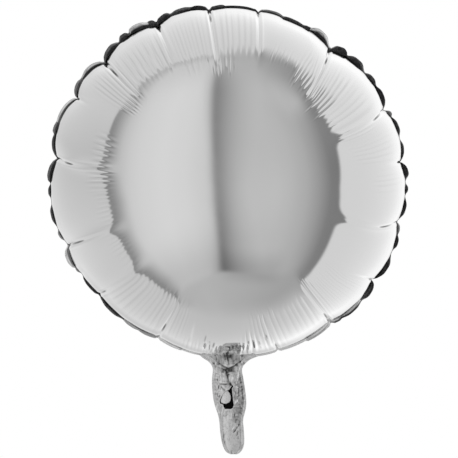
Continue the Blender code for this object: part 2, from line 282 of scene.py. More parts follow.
def buildStudioLight():
    world = bpy.data.worlds.new("studio")
    bpy.context.scene.world = world
    world.use_nodes = True
    tree = world.node_tree
    tree.nodes.clear()

    def plus(one, other):
        return calc(tree, "ADD", one, other)

    def minus(one, other):
        return calc(tree, "SUBTRACT", one, other)

    def times(first, *others):
        for other in others:
            first = calc(tree, "MULTIPLY", first, other)
        return first

    def over(one, other):
        return calc(tree, "DIVIDE", one, other)

    def inDegrees(operation, *values):
        return times(calc(tree, operation, *values), 180 / math.pi)

    def fade(value, name):
        return stepOver(tree, value, *studio[name])

    def byBearing(value, name):
        return toneRamp(tree, value, *studio["bearings"], studio[name])

    def byTurn(name):
        return toneRamp(tree, turn, 0, 360, studio[name])

    def degreesByTurn(name):
        return times(byTurn(name), fullTone)

    def tone(name):
        return studio[name] / fullTone

    direction = addNode(tree, "ShaderNodeTexCoord").outputs["Generated"]
    right, back, up = addNode(tree, "ShaderNodeSeparateXYZ", {0: direction}).outputs
    ahead = times(back, -1.0)
    bearing = inDegrees("ARCTAN2", right, ahead)
    height = inDegrees("ARCSINE", up)
    off = inDegrees("ARCCOSINE", ahead)
    turn = calc(tree, "WRAP", inDegrees("ARCTAN2", right, up), 360.0, 0.0)

    # The room in front: two walls that meet in a corner
    lean = times(calc(tree, "MAXIMUM", height, 0.0), studio["cornerLean"])
    leaning = plus(bearing, lean)
    wide = plus(times(calc(tree, "ABSOLUTE", height), studio["cornerWidening"]), 1.0)
    across = over(minus(leaning, studio["cornerBearing"]), times(wide, studio["cornerUnit"]))
    inCorner = times(fade(across, "cornerIn"), fade(across, "cornerOut"))
    corner = toneRamp(tree, across, *studio["cornerSteps"], studio["cornerTones"])
    wall = blendTone(tree, inCorner, byBearing(leaning, "wallByBearing"), corner)
    awayFromEye = calc(tree, "ABSOLUTE", minus(height, studio["eyeLevel"]))
    glow = times(fade(awayFromEye, "eyeLevelReach"), tone("eyeLevelLight"),
                 fade(across, "glowPastCorner"), fade(bearing, "glowOnRight"))
    lift = times(minus(byTurn("liftByTurn"), tone("liftBase")), fade(off, "liftOff"))

    # Its floor and ceiling
    fallRight = times(calc(tree, "MAXIMUM", bearing, 0.0), -studio["floorFallRight"])
    fallLeft = times(calc(tree, "MINIMUM", minus(bearing, studio["floorFallFrom"]), 0.0),
                     studio["floorFallLeft"])
    edge = plus(studio["floorEdge"], plus(fallRight, fallLeft))
    below = minus(edge, height)
    narrow, widening = studio["floorSoft"]
    soft = plus(narrow, times(calc(tree, "ABSOLUTE", bearing), widening))
    isFloor = stepOver(tree, over(below, soft), -1.0, 1.0)
    onRight = times(fade(bearing, "rightWallIn"), fade(bearing, "rightWallOut"))
    footLeft = times(fade(below, "footLeftHeight"), fade(bearing, "footLeftBearing"),
                     tone("footLeft"))
    footRight = times(fade(below, "footRightHeight"), onRight, tone("footRight"))
    shade = times(fade(below, "floorShadeDepth"), onRight, tone("floorShade"))
    wall = minus(plus(wall, plus(lift, glow)), plus(footLeft, footRight))
    ground = minus(byBearing(bearing, "floorByBearing"), shade)
    ceiling = byBearing(leaning, "ceilingByBearing")
    room = blendTone(tree, fade(height, "ceiling"), wall, ceiling)
    room = blendTone(tree, isFloor, room, ground)

    # The opening's edge, with a dark fringe inside it
    past = minus(off, degreesByTurn("openingByTurn"))
    fringe = stepOver(tree, over(past, degreesByTurn("fringeWidth")), -1.0, 0.0)
    room = minus(room, times(byTurn("fringeByTurn"), fringe))

    # The white walls round it and behind
    outward = calc(tree, "DIVIDE", minus(off, studio["whiteFrom"]), studio["whiteSpan"], clamp=True)
    outward = calc(tree, "POWER", outward, studio["whiteCurve"])
    white = blendTone(tree, outward, byTurn("nearByTurn"), byTurn("farByTurn"))
    white = blendTone(tree, fade(off, "rearOff"), white, byTurn("rearByTurn"))
    white = blendTone(tree, fade(off, "behindOff"), white, tone("behind"))
    isWhite = stepOver(tree, over(past, degreesByTurn("openingSoft")), -1.0, 1.0)
    shown = blendTone(tree, isWhite, room, white)

    light = times(calc(tree, "POWER", shown, studio["displayCurve"]), studio["gain"])
    seen = addNode(tree, "ShaderNodeLightPath").outputs["Is Camera Ray"]
    light = blendTone(tree, seen, light, 1.0)
    background = addNode(tree, "ShaderNodeBackground", {"Color": light})
    addNode(tree, "ShaderNodeOutputWorld", {"Surface": background.outputs[0]})


floor = {"height": -0.75, "half": 1.5, "tones": (0.83, 0.87), "grain": 40, "roughness": 0.7}


def layFloor():
    material, tree, shader = newMaterial("pale_floor", {"Roughness": floor["roughness"]})
    tone = blendTone(tree, noise(tree, floor["grain"]), *floor["tones"])
    feed(tree, shader, {"Base Color": tone})
    half, height = floor["half"], floor["height"]
    corners = [(-half, -half, height), (half, -half, height), (half, half, height),
               (-half, half, height)]
    ground = meshObject("studio_floor", corners, [(0, 1, 2, 3)], material)
    ground.visible_glossy = False


placeCamera()
buildStudioLight()
layFloor()
print("camera, studio light and floor done")


# The two films of the body. Fold rows run clockwise from the top as seen from the front.
filmBody = {
    "seamRadius": 174.35 * mm,
    "linear": 0.20,                  # the slope's sine: this share grows evenly with radius,
    "power": 2.25,                   # the rest with this power
    "depthSteps": 4001,
    "rimGap": 0.45 * mm,             # from the seam's plane to each film's edge
    "skin": 0.9 * mm,                # how far inside the hidden inner skin lies
    "lobePower": 3.0,                # how full a lobe is between its folds
    "foldGrowth": 2.6,               # how a fold deepens towards the rim
    "ridgeStart": 0.60,              # inside its dip a fold stands up: from here on,
    "ridgeWidth": 6.5 * mm,          # and this wide
    "creaseWidth": 1.3 * mm,
    "slitWidth": 0.6 * mm,
    "creaseShoulder": (0.45, 2.4),   # beside a crease: height against its depth, and place
    "creaseFade": (0.04, 0.10),      # shares of the radius before and after its fold's start
    "slitDepth": 1.6 * mm,
    "bunching": 0.35,                # how much closer the lines of points stand at the folds
    "pouchDrop": 13.8 * mm,
    "pouchPower": 1.5,
    "pouchEdge": 2.2 * mm,           # depth of the painted shade along its lip
    "pouchFade": 9.0 * mm,
    "pouchUneven": (3, 240, 0.05),   # seed, knots round the rim, share of its depth
    # how dark the painted shade along the pouch's lip is
    "lipPaintedShade": 0.40,
    "lipMottle": (280, 0.65, 0.35),  # mottle of that shade: knots round the rim, even and uneven share
    "lipFrom": (0.5, 4.0),           # depths of the pouch from none of it to all (mm)
    # angle at the rim, angle inside, how late the fold swings to the first of them, share of
    # the radius where it starts, its dip and the crest after it, its ridge and its crease (mm),
    # start and end radius of its slit, with painted shade in it (mm), and lines of points per degree
    # after it
    "foldParts": ("rim", "inner", "swing", "reach", "dip", "crest", "ridge", "crease",
                  "slitStart", "slitEnd", "density"),
    "folds": [
        (9.8, 13.2, 1.0, 0.73, 2.0, 0.2, 0.6, 1.0, 168, 175, 5.0),
        (18.5, 19.5, 1.0, 0.92, 2.0, -2.3, 0.0, 0.0, 150, 150, 5.0),
        (27.0, 30.0, 1.0, 0.92, 3.2, -3.6, 0.0, 0.0, 150, 150, 5.0),
        (37.2, 43.0, 1.0, 0.66, 9.5, -0.3, -0.8, 1.1, 152, 164, 5.0),
        (64.6, 68.8, 2.0, 0.68, 3.5, 2.0, 1.8, 0.9, 154, 168, 3.7),
        (83.0, 84.0, 1.0, 0.88, 2.0, 2.4, 0.0, 0.4, 169, 176, 3.7),
        (103.0, 107.8, 3.0, 0.70, 2.2, 2.6, 2.0, 0.6, 154, 169, 3.7),
        (124.0, 127.0, 1.0, 0.86, 1.6, 1.0, 0.0, 0.5, 170, 176, 3.7),
        (143.8, 144.4, 1.0, 0.72, 3.8, -1.2, 0.6, 1.1, 161, 174, 3.7),
        (163.5, 165.0, 1.0, 0.80, 1.4, -0.4, 0.0, 0.6, 167, 175, 5.0),
        (172.0, 172.0, 1.0, 0.85, 1.4, -1.4, 0.0, 0.5, 150, 150, 5.0),
        (188.0, 188.0, 1.0, 0.85, 1.4, -2.8, 0.0, 0.5, 160, 168, 4.2),
        (204.5, 203.0, 1.0, 0.75, 6.0, -3.4, 0.6, 1.0, 152, 166, 4.2),
        (229.4, 226.0, 1.0, 0.76, 4.6, -2.6, 1.4, 0.6, 163, 172, 4.2),
        (238.5, 238.0, 1.0, 0.92, 2.4, -0.4, 0.0, 0.0, 150, 150, 4.2),
        (248.6, 247.4, 1.0, 0.75, 3.6, 3.4, 1.6, 0.9, 152, 172, 3.7),
        (278.2, 276.0, 2.4, 0.77, 2.6, 4.8, 1.6, 0.8, 153, 165, 3.7),
        (299.2, 299.0, 1.0, 0.90, 2.4, 3.4, 0.0, 0.4, 171, 177, 5.0),
        (314.2, 313.0, 1.0, 0.71, 4.2, 2.2, -0.4, 1.1, 150, 168, 5.0),
        (335.7, 335.4, 1.0, 0.77, 3.6, 2.2, 0.3, 0.9, 165, 174, 4.2),
        (353.6, 354.6, 1.0, 0.65, 2.2, 0.5, -0.6, 1.3, 160, 172, 5.0),
    ],
    "pouchFold": 172.0,
    "waves": 0.00015,                # height of the slow waves against their length
    "waveLengths": (150, 105, 70, 48),
    "calmRim": 0.16,                 # all wrinkles fade out towards the weld over this
    # painted highlight on wrinkle crests and painted shade in their troughs
    "wrinklePaintedLight": 0.42,
    "wrinklePaintedLightFull": 0.3,         # wrinkles this high or more show their full painted light and shade (mm)
    "wrinkleDrift": 0.28,            # how far they wander sideways, in periods
    "wrinkleStrength": (0.65, 0.35),             # even and uneven share
    "wrinkleRound": 0.55,            # share of round waves; the rest are sharp ones
    "wrinkleEnds": (4.0, 9, 14),     # fade sideways (degrees), inwards and outwards (mm)
    # start and end angle, period (degrees), inner and outer radius, height (mm), and how
    # uneven their ends are (mm)
    "wrinkles": [
        (359.0, 370.0, 2.2, 122, 172, 0.16, 4.5),
        (14.0, 31.0, 1.2, 124, 144, 0.16, 4.5),
        (26.0, 43.0, 1.45, 113, 153, 0.32, 6.0),
        (40.5, 51.5, 2.3, 105, 162, 0.52, 7.0),
        (49.0, 67.0, 2.75, 107, 164, 0.16, 3.0),
        (62.0, 69.0, 1.4, 113, 160, 0.22, 4.5),
        (69.0, 83.0, 2.2, 120, 172, 0.10, 4.5),
        (84.0, 93.0, 1.8, 140, 172, 0.07, 4.5),
        (124.0, 144.0, 1.4, 122, 170, 0.09, 4.5),
        (138.0, 145.0, 1.3, 118, 172, 0.26, 4.5),
        (144.0, 173.0, 2.1, 129, 172, 0.32, 4.5),
        (161.0, 177.0, 1.75, 148, 176, 0.62, 6.0),
        (184.0, 198.0, 1.35, 156, 177, 0.30, 4.5),
        (196.0, 206.0, 1.5, 126, 168, 0.22, 4.5),
        (200.0, 231.0, 2.3, 118, 172, 0.20, 4.5),
        (203.0, 212.0, 1.6, 120, 160, 0.20, 4.5),
        (228.0, 249.0, 1.9, 112, 136, 0.10, 3.0),
        (248.0, 274.0, 2.1, 112, 136, 0.12, 3.0),
        (266.0, 294.0, 2.25, 113, 140, 0.34, 4.5),
        (303.0, 319.0, 1.8, 112, 164, 0.42, 6.0),
        (315.0, 337.0, 2.1, 124, 149, 0.50, 5.0),
        (312.0, 337.0, 2.3, 118, 166, 0.16, 4.5),
        (304.0, 338.0, 0.95, 124, 170, 0.11, 4.5),
        (336.0, 353.0, 1.4, 118, 168, 0.14, 4.5),
        (338.0, 349.0, 2.6, 108, 134, 0.22, 6.0),
        (350.0, 363.0, 1.7, 106, 172, 0.26, 6.0),
    ],
    # single creases: across, up, turn (degrees), half length, width, height (mm), painted shade
    # (below 0 a painted highlight)
    "creases": [
        (-22.8, -153.5, 74, 3.0, 0.9, -0.25, 0.5), (-19.0, -157.5, 70, 1.6, 0.9, -0.2, 0.5),
        (-14.8, -160.8, 73, 2.8, 0.9, -0.3, 0.85), (-17.0, -167.0, 70, 3.0, 0.9, -0.25, 0.5),
        (-13.3, -164.0, 72, 5.0, 0.9, 0.3, -0.9), (-7.6, -163.8, 80, 2.0, 0.8, -0.2, 0.4),
        (-8.5, -167.6, 84, 2.0, 1.0, -0.3, 0.85), (-11.5, -169.0, 80, 2.0, 0.9, -0.2, 0.6),
        (-15.5, -170.3, 70, 1.3, 1.1, -0.2, 0.6), (-5.5, -168.5, 85, 1.2, 1.2, 0.2, -0.8),
        (-10.2, -165.5, 80, 3.4, 0.7, 0.25, -0.7), (-21.0, -162.0, 72, 5.0, 0.9, 0.2, -0.6),
        (-17.7, -175.0, 0, 1.4, 1.2, -0.2, 0.9), (-13.0, -173.8, 0, 1.0, 1.0, 0.2, -0.8),
        (1.0, -170.3, -3, 3.2, 0.9, -0.1, 0.4), (2.1, -173.4, -71, 2.2, 0.9, -0.1, 0.4),
        (0.2, -178.3, 90, 2.6, 0.7, -0.1, 0.4), (-2.2, -178.5, 86, 4.0, 1.3, 0.2, -1.0),
        (-3.2, -182.6, 75, 1.4, 0.9, 0.2, -0.9), (2.3, -179.5, 90, 2.6, 1.1, 0.2, -0.9),
        (-1.0, -183.2, 0, 1.3, 1.3, -0.1, 0.4), (3.8, -163.0, 92, 2.1, 0.9, -0.25, 0.8),
        (7.8, -161.6, 0, 1.4, 1.2, -0.2, 0.75), (9.0, -163.5, -60, 1.6, 0.8, -0.15, 0.4),
        (11.8, -161.8, 0, 1.4, 1.1, -0.2, 0.8), (10.0, -169.6, 80, 1.8, 1.1, -0.25, 0.75),
        (13.9, -168.5, -80, 2.4, 0.9, -0.25, 0.7), (12.4, -166.0, -83, 2.2, 0.7, 0.2, -0.8),
        (11.6, -172.8, -83, 3.4, 0.9, 0.3, -1.0), (15.4, -162.0, 90, 5.2, 1.2, 0.35, -1.0),
        (18.3, -166.6, -83, 5.0, 0.9, -0.35, 0.95), (20.2, -166.0, -83, 5.5, 0.8, 0.25, -0.8),
        (25.0, -160.4, -75, 2.8, 0.9, -0.3, 0.75), (30.6, -158.0, -75, 2.4, 0.9, -0.25, 0.6),
        (31.8, -163.0, -75, 1.8, 0.9, -0.2, 0.4), (35.3, -154.0, -72, 2.6, 0.9, -0.25, 0.5),
        (27.6, -159.0, -75, 5.0, 1.0, 0.25, -0.7), (22.4, -158.0, -78, 5.5, 1.2, 0.25, -0.6),
        (33.6, -157.0, -73, 5.0, 1.0, 0.25, -0.7), (14.0, -173.6, 0, 1.6, 1.5, -0.2, 0.75),
        (15.0, -175.8, 0, 1.0, 0.9, 0.2, -0.6), (8.0, -177.3, 0, 1.3, 1.2, -0.15, 0.6),
        (5.0, -180.0, 80, 3.0, 0.9, -0.15, 0.5), (-36.2, -150.7, 76, 12.0, 1.1, 0.3, -0.8),
        (-37.6, -155.0, 76, 3.0, 0.9, -0.2, 0.6),
    ],
    "capPaintedShade": 0.20,                 # how dark the painted shade over the pouch's cap is
    "capTop": -167.0,                # its top, and its half width there (mm)
    "capHalf": 10.0,
    "capWidening": 0.9,              # how fast it widens downwards
    "capLean": (3.0, 6.0),           # how far right it starts, and how soon that is over (mm)
    "capSoft": (12.0, 4.0),          # softness of its top and of its sides (mm)
    "rings": (6, 18, 48),            # rings in the inner, middle and outer part
    "thinning": (16, 4, 1),          # there they have every 16th point, every 4th and all
    "middleStart": 0.16,             # where the parts begin, as shares of the radius
    "outerStart": 0.56,
    "skinRings": (3, 12, 1),         # rings of the hidden inner skin; its last one lies
    "skinEdge": 0.02,                # this near the rim
    "grain": 90,                     # of the film's polish, for each metre
    "roughness": (0.055, 0.085),
    "tones": (1.0, 0.85, 0.14),      # painted highlight, plain and painted shade
}


# Random values round the rim, joined by straight lines. It closes on itself.
def unevenLine(seed, knots):
    values = np.random.default_rng(seed).uniform(-1, 1, knots)
    angles = np.arange(knots) * 360 / knots
    return lambda angle: np.interp(angle, angles, values, period=360)


def slopeSine(share):
    return filmBody["linear"] * share + (1 - filmBody["linear"]) * share ** filmBody["power"]


# Depth from the seam's plane against the root of what is left of the radius
def depthTable():
    place = np.linspace(0, 1, filmBody["depthSteps"])
    middle = (place[1:] + place[:-1]) / 2
    sine = slopeSine(1 - middle ** 2)
    steps = sine / np.sqrt(1 - sine ** 2) * 2 * middle * (place[1] - place[0])
    return place, filmBody["seamRadius"] * np.concatenate(([0], np.cumsum(steps)))


# How far the pouch hangs below the seam, 0 at its middle to 1 at its ends
def pouchDepth(beside):
    return filmBody["pouchDrop"] * (1 - beside ** filmBody["pouchPower"]) ** 2


# Lines of points from the middle to the rim. Each lobe starts with the line of a fold.
def lobeColumns():
    folds = [dict(zip(filmBody["foldParts"], row)) for row in filmBody["folds"]]
    seed, knots, unevenShare = filmBody["pouchUneven"]
    uneven = unevenLine(seed, knots)
    coarsest = filmBody["thinning"][0]
    parts = []
    for here, after in zip(folds, folds[1:] + folds[:1]):
        turn = 360 if after["rim"] < here["rim"] else 0
        span = after["rim"] + turn - here["rim"]
        count = coarsest * max(1, round(span * here["density"] / coarsest))
        even = np.arange(count) / count
        share = even - filmBody["bunching"] * np.sin(2 * np.pi * even) / (2 * np.pi)
        beside = np.abs(2 * share - 1)
        rise = here["crest"] + (here["dip"] + after["dip"]) / 2
        overNeck = here["rim"] == filmBody["pouchFold"]
        angle = here["rim"] + span * share
        part = {
            "rim": angle,
            "inner": mix(here["inner"], after["inner"] + turn, share),
            "swing": mix(here["swing"], after["swing"], share),
            "reach": mix(here["reach"], after["reach"], share),
            "drop": (mix(here["dip"], after["dip"], share)
                     - rise * (1 - beside ** filmBody["lobePower"])) * mm,
            "pouch": overNeck * pouchDepth(beside) * (1 + unevenShare * uneven(angle)),
            "fromFold": span * share,
            "toFold": span * (1 - share),
        }
        for name, unit in (("ridge", mm), ("crease", mm), ("reach", 1)):
            part[name + "Before"] = np.full(count, here[name] * unit)
            part[name + "After"] = np.full(count, after[name] * unit)
        for name in ("slitStart", "slitEnd"):
            part[name] = np.where(share < 0.5, here[name], after[name]) * mm
        parts.append(part)
    return {name: np.concatenate([part[name] for part in parts]) for name in parts[0]}


# How far the fine wrinkles stand out of the film, in metres, and their painted light: highlight on
# the crests, shade in the troughs
def wrinkleHeight(angle, share, seed):
    radius = share * filmBody["seamRadius"] / mm
    roundShare = filmBody["wrinkleRound"]
    evenShare, unevenShare = filmBody["wrinkleStrength"]
    sideways, inwards, outwards = filmBody["wrinkleEnds"]
    height = np.zeros_like(angle)
    light = np.zeros_like(angle)
    for index, row in enumerate(filmBody["wrinkles"]):
        start, end, period, inner, outer, tall, uneven = row
        here = np.where(angle < start - 180, angle + 360, angle)
        spread = min(sideways, (end - start) / 3)
        inZone = smoothStep(start, start + spread, here) * (1 - smoothStep(end - spread, end, here))
        drift = unevenLine(seed + index, int(360 / period / 1.6))(here)
        strength = unevenLine(seed + 50 + index, int(360 / period))(here)
        strength = evenShare + unevenShare * strength
        ragged = uneven * unevenLine(seed + 90 + index, int(720 / period))(here)
        phase = 2 * np.pi * (here / period + filmBody["wrinkleDrift"] * drift)
        wave = roundShare * np.sin(phase) + (1 - roundShare) * (2 * np.abs(np.sin(phase / 2)) - 1)
        inBand = (smoothStep(inner, inner + inwards, radius + ragged)
                  * (1 - smoothStep(outer - outwards, outer, radius - ragged)))
        shown = strength * wave * inZone * inBand
        height += tall * mm * shown
        light += min(1.0, tall / filmBody["wrinklePaintedLightFull"]) * shown
    return height, light


# Creases, each with a sharp middle line. Gives their height in metres and their painted shade, which
# is a painted highlight where it is below 0.
def creaseLines(across, up, rows):
    height = np.zeros_like(across)
    dark = np.zeros_like(across)
    for middle, level, turn, half, width, tall, shade in rows:
        slope = math.radians(turn)
        right, above = across - middle * mm, up - level * mm
        along = (right * math.cos(slope) + above * math.sin(slope)) / (half * mm)
        beside = (above * math.cos(slope) - right * math.sin(slope)) / (width * mm)
        lengthwise = np.exp(-along ** 4)
        height += tall * mm * lengthwise * np.exp(-np.abs(beside))
        dark += shade * lengthwise * np.exp(-beside ** 2)
    return height, dark


# Slow waves all over the film, in metres
def unevenFilm(across, up, seed):
    spread = np.random.default_rng(seed)
    height = np.zeros_like(across)
    for length in filmBody["waveLengths"]:
        turn, shift = spread.uniform(0, 2 * np.pi, 2)
        wave = np.sin((across * math.cos(turn) + up * math.sin(turn)) * 2 * np.pi
                      / (length * mm) + shift)
        height += filmBody["waves"] * length * mm * wave
    return height


# Painted shade over the pouch's cap, 0 to 1, where a point lies in it
def capShade(across, up):
    aside, straight = filmBody["capLean"]
    top, sides = filmBody["capSoft"]
    under = np.maximum(filmBody["capTop"] * mm - up, 0)
    half = filmBody["capHalf"] * mm + filmBody["capWidening"] * under
    beside = np.abs(across - aside * mm * np.exp(-under / (straight * mm)))
    return smoothStep(0, top * mm, under) * smoothStep(half + sides * mm, half - sides * mm, beside)


# Adds creases, slits, wrinkles and waves to how far a ring stands out. Gives its painted shade, with
# painted highlights where it is below 0.
def addDetail(out, columns, share, rimShare, angle, depth, seed):
    turn = np.radians(angle)
    radius = filmBody["seamRadius"] * share
    perDegree = radius * math.pi / 180
    shoulder, shoulderPlace = filmBody["creaseShoulder"]
    early, late = filmBody["creaseFade"]
    for far, side in (("fromFold", "Before"), ("toFold", "After")):
        away = columns[far] * perDegree / filmBody["creaseWidth"]
        line = np.exp(-away) - shoulder * np.exp(-(away - shoulderPlace) ** 2)
        begin = columns["reach" + side]
        out -= columns["crease" + side] * line * smoothStep(begin - early, begin + late, share)
    # the slit dents the film and is also painted shade in the fold
    middle = (columns["slitStart"] + columns["slitEnd"]) / 2
    half = np.maximum((columns["slitEnd"] - columns["slitStart"]) / 2, 1e-6)
    lengthwise = np.clip(1 - ((radius - middle) / half) ** 2, 0, 1)
    nearest = np.minimum(columns["fromFold"], columns["toFold"]) * perDegree
    slit = lengthwise * np.exp(-(nearest / filmBody["slitWidth"]) ** 2)
    out -= filmBody["slitDepth"] * slit
    fade = smoothStep(0, filmBody["calmRim"], rimShare)
    wrinkled, light = wrinkleHeight(columns["rim"], share, seed)
    out += wrinkled * fade
    out += unevenFilm(radius * np.sin(turn), radius * np.cos(turn), seed) * fade
    radius = radius + columns["pouch"] * math.exp(-depth / filmBody["pouchFade"])
    across, up = radius * np.sin(turn), radius * np.cos(turn)
    lines, dark = creaseLines(across, up, filmBody["creases"])
    out += lines * fade
    # painted shade along the pouch's lip, mottled round the rim
    knots, evenShare, unevenShare = filmBody["lipMottle"]
    shallow, deep = filmBody["lipFrom"]
    mottled = evenShare + unevenShare * unevenLine(seed + 7, knots)(angle)
    lip = math.exp(-(depth / filmBody["pouchEdge"]) ** 2) * mottled
    lip = lip * smoothStep(shallow * mm, deep * mm, columns["pouch"])
    # painted shade in slits, creases, over the cap and along the lip; painted highlights on wrinkle
    # crests and light creases
    shade = slit - filmBody["wrinklePaintedLight"] * light * fade + dark
    shade += filmBody["capPaintedShade"] * capShade(across, up) + filmBody["lipPaintedShade"] * lip
    return np.clip(shade, -1, 1)


# One ring of the film. side is -1 for the front film and 1 for the back one.
def filmRing(columns, rimShare, side, depthPlace, depthValue, seed, inset=0.0):
    share = 1 - rimShare ** 2
    sine = slopeSine(share)
    cosine = math.sqrt(max(0.0, 1 - sine ** 2))
    depth = np.interp(rimShare, depthPlace, depthValue)
    along = np.clip((share - columns["reach"]) / (1 - columns["reach"]), 0, 1)
    angle = mix(columns["inner"], columns["rim"], along ** columns["swing"])
    inside = max(0.0, (share - filmBody["ridgeStart"]) / (1 - filmBody["ridgeStart"]))
    out = -columns["drop"] * along ** filmBody["foldGrowth"]
    perDegree = filmBody["seamRadius"] * share * math.pi / 180
    for far, ridge in (("fromFold", "ridgeBefore"), ("toFold", "ridgeAfter")):
        away = columns[far] * perDegree / filmBody["ridgeWidth"]
        out += columns[ridge] * np.exp(-away ** 2) * math.sin(math.pi * inside) ** 2
    shade = np.zeros_like(angle)
    if inset == 0.0:
        shade = addDetail(out, columns, share, rimShare, angle, depth, seed)
    turn = np.radians(angle)
    radius = filmBody["seamRadius"] * share + (out - inset) * sine
    depth = depth + (out - inset) * cosine
    radius = radius + columns["pouch"] * np.exp(-np.maximum(depth, 0) / filmBody["pouchFade"])
    depth = np.maximum(depth, filmBody["rimGap"])
    return np.stack([radius * np.sin(turn), side * depth, radius * np.cos(turn), shade], axis=1)


# Faces between two rings. The outer one has as many points as the inner, or four times.
def joinRings(faces, inner, outer):
    count = len(inner)
    for index in range(count):
        after = (index + 1) % count
        near, far = inner[index], inner[after]
        if len(outer) == count:
            faces.append((near, outer[index], outer[after], far))
            continue
        fine = [outer[(4 * index + step) % len(outer)] for step in range(5)]
        faces += [(near, fine[0], fine[1]), (near, fine[1], fine[2]), (near, fine[2], far),
                  (far, fine[2], fine[3]), (far, fine[3], fine[4])]


# Points and faces of one side of a film, from the middle out
def dish(columns, side, seed, inset, spacing):
    place, value = depthTable()
    thinned = {every: {name: values[::every] for name, values in columns.items()}
               for every in filmBody["thinning"]}
    points = [np.array([[0.0, side * (value[-1] - inset), 0.0, 0.0]])]
    rings = []
    total = 1
    for rimShare, every in spacing:
        ring = filmRing(thinned[every], rimShare, side, place, value, seed, inset)
        points.append(ring)
        rings.append(list(range(total, total + len(ring))))
        total += len(ring)
    faces = [(0, rings[0][i], rings[0][(i + 1) % len(rings[0])]) for i in range(len(rings[0]))]
    for inner, outer in zip(rings, rings[1:]):
        joinRings(faces, inner, outer)
    return np.concatenate(points), faces, rings[-1]


# Where the rings lie, from the middle out, and which of the points each one has
def ringSpacing(counts):
    middle = math.sqrt(1 - filmBody["middleStart"])
    outer = math.sqrt(1 - filmBody["outerStart"])
    spacing = []
    for start, end, count, every in zip((1, middle, outer), (middle, outer, 0), counts,
                                        filmBody["thinning"]):
        spacing += [(mix(start, end, (i + 1) / count), every) for i in range(count)]
    return spacing


def buildFilm(name, node, side, seed, material):
    columns = lobeColumns()
    fine = ringSpacing(filmBody["rings"])
    coarse = ringSpacing(filmBody["skinRings"])[:-1] + [(filmBody["skinEdge"], 1)]
    points, faces, rim = dish(columns, side, seed, 0.0, fine)
    inner, innerFaces, innerRim = dish(columns, side, seed, filmBody["skin"], coarse)
    shift = len(points)
    faces += [tuple(shift + corner for corner in reversed(face)) for face in innerFaces]
    innerRim = [shift + corner for corner in innerRim]
    count = len(rim)
    faces += [(rim[i], innerRim[i], innerRim[(i + 1) % count], rim[(i + 1) % count])
              for i in range(count)]
    if side < 0:
        faces = [tuple(reversed(face)) for face in faces]
    points = np.concatenate([points, inner])
    film = meshObject(name, points[:, :3], faces, material)
    # painted shade and painted highlights, kept at each point for the material
    storeValues(film.data, "paintedLightAndShade", points[:, 3])
    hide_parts(node)
    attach(film, "envelope")
    print(name, sum(len(face) - 2 for face in faces), "triangles")


# Base colour from the stored painted shade: painted highlight at -1, plain at 0 and painted shade at
# 1
def shadedColour(tree, shader, shade, tones):
    place = calc(tree, "ADD", calc(tree, "MULTIPLY", shade, 0.5), 0.5, clamp=True)
    feed(tree, shader, {"Base Color": greyRamp(tree, place, list(zip((0, 0.5, 1), tones)))})


def silverFilm():
    material, tree, shader = newMaterial("silver_film", {"Metallic": 1})
    rough = blendTone(tree, noise(tree, filmBody["grain"]), *filmBody["roughness"])
    feed(tree, shader, {"Roughness": rough})
    shadedColour(tree, shader, stored(tree, "paintedLightAndShade"), filmBody["tones"])
    return material


silver = silverFilm()
buildFilm("front_film", "front_panel", -1, 11, silver)
buildFilm("back_film", "back_panel", 1, 47, silver)
print("body films done")


